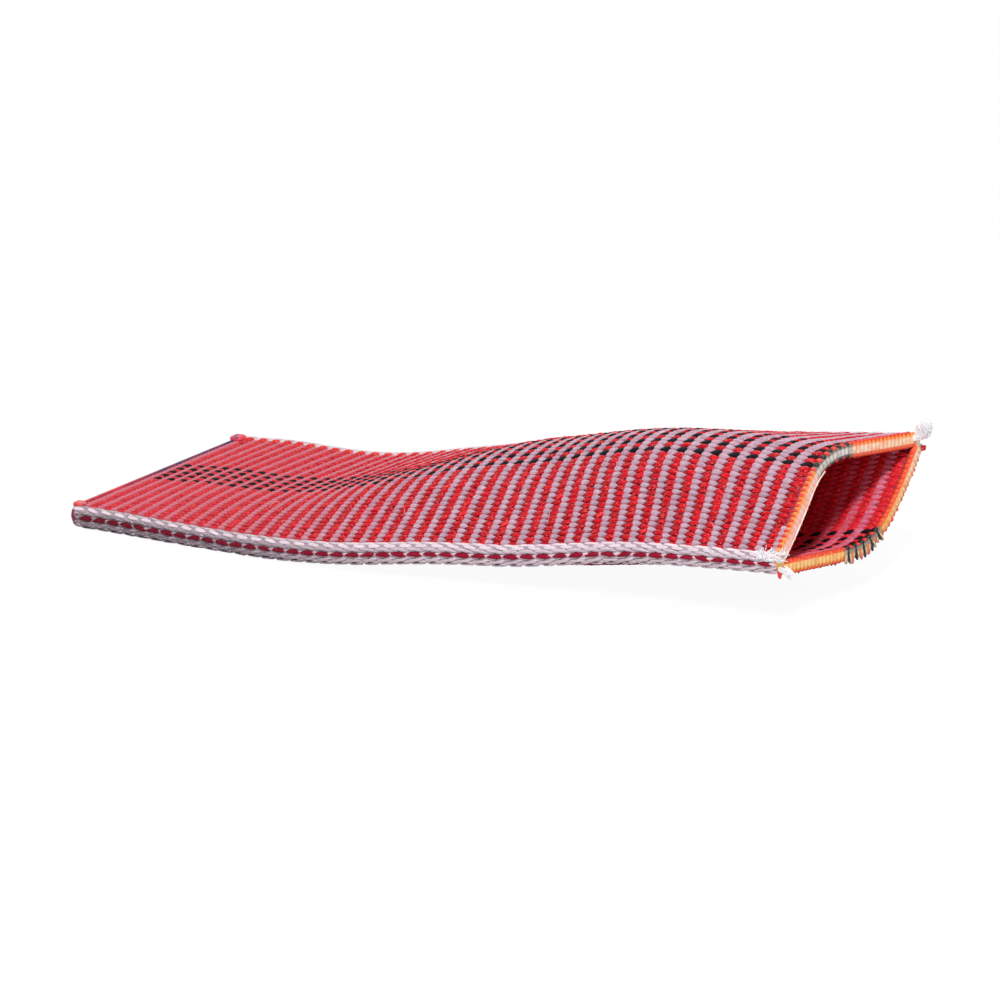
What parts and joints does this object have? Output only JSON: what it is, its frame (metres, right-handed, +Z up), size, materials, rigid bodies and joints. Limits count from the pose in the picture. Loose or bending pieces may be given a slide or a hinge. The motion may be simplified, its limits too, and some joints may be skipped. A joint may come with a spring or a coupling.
{
  "type": "rope protector sleeve",
  "caption": "Flat-woven tubular webbing sleeve that a rope runs through, red and white with a black marker stripe, lying down with one end open.",
  "frame": {"origin": "on the ground under the middle of the sleeve's bounding box", "axes": "+X along the sleeve towards its open mouth, +Y across it towards the far selvedge, +Z up"},
  "size_m": [0.2042, 0.0708, 0.0334],
  "materials": {
    "white_and_red_repp": "warp-faced rib of white and red yarn",
    "red_yarn": "red warp yarn",
    "black_yarn": "black warp yarn",
    "white_cord": "white selvedge yarn",
    "dark_red_yarn": "dark red warp yarn in the fold",
    "melted_mouth_cut": "melted yarn ends, translucent",
    "melted_tail_cut": "melted and pressed yarn ends"
  },
  "bodies": {
    "root": {"upper_near_panel": "white_and_red_repp", "upper_far_panel": "white_and_red_repp", "lower_near_panel": "white_and_red_repp", "lower_far_panel": "white_and_red_repp", "upper_black_end_1": "black_yarn", "upper_black_end_2": "black_yarn", "upper_black_end_3": "black_yarn", "upper_black_end_4": "black_yarn", "upper_black_end_5": "black_yarn", "upper_red_end_1": "red_yarn", "upper_red_end_2": "red_yarn", "upper_red_end_3": "red_yarn", "upper_red_end_4": "red_yarn", "lower_black_end_1": "black_yarn", "lower_black_end_2": "black_yarn", "lower_black_end_3": "black_yarn", "lower_black_end_4": "black_yarn", "lower_black_end_5": "black_yarn", "lower_red_end_1": "red_yarn", "lower_red_end_2": "red_yarn", "lower_red_end_3": "red_yarn", "lower_red_end_4": "red_yarn", "upper_mouth_cut": "melted_mouth_cut", "lower_mouth_cut": "melted_mouth_cut", "upper_tail_cut": "melted_tail_cut", "lower_tail_cut": "melted_tail_cut", "near_selvedge_upper_cord": "white_cord", "near_selvedge_lower_cord": "white_cord", "far_selvedge_upper_cord": "white_cord", "far_selvedge_lower_cord": "white_cord", "near_fold_yarn": "dark_red_yarn", "far_fold_yarn": "dark_red_yarn", "far_upper_frayed_end": "white_cord", "near_upper_frayed_end": "white_cord", "near_lower_frayed_end": "white_cord"}
  },
  "joints": []
}
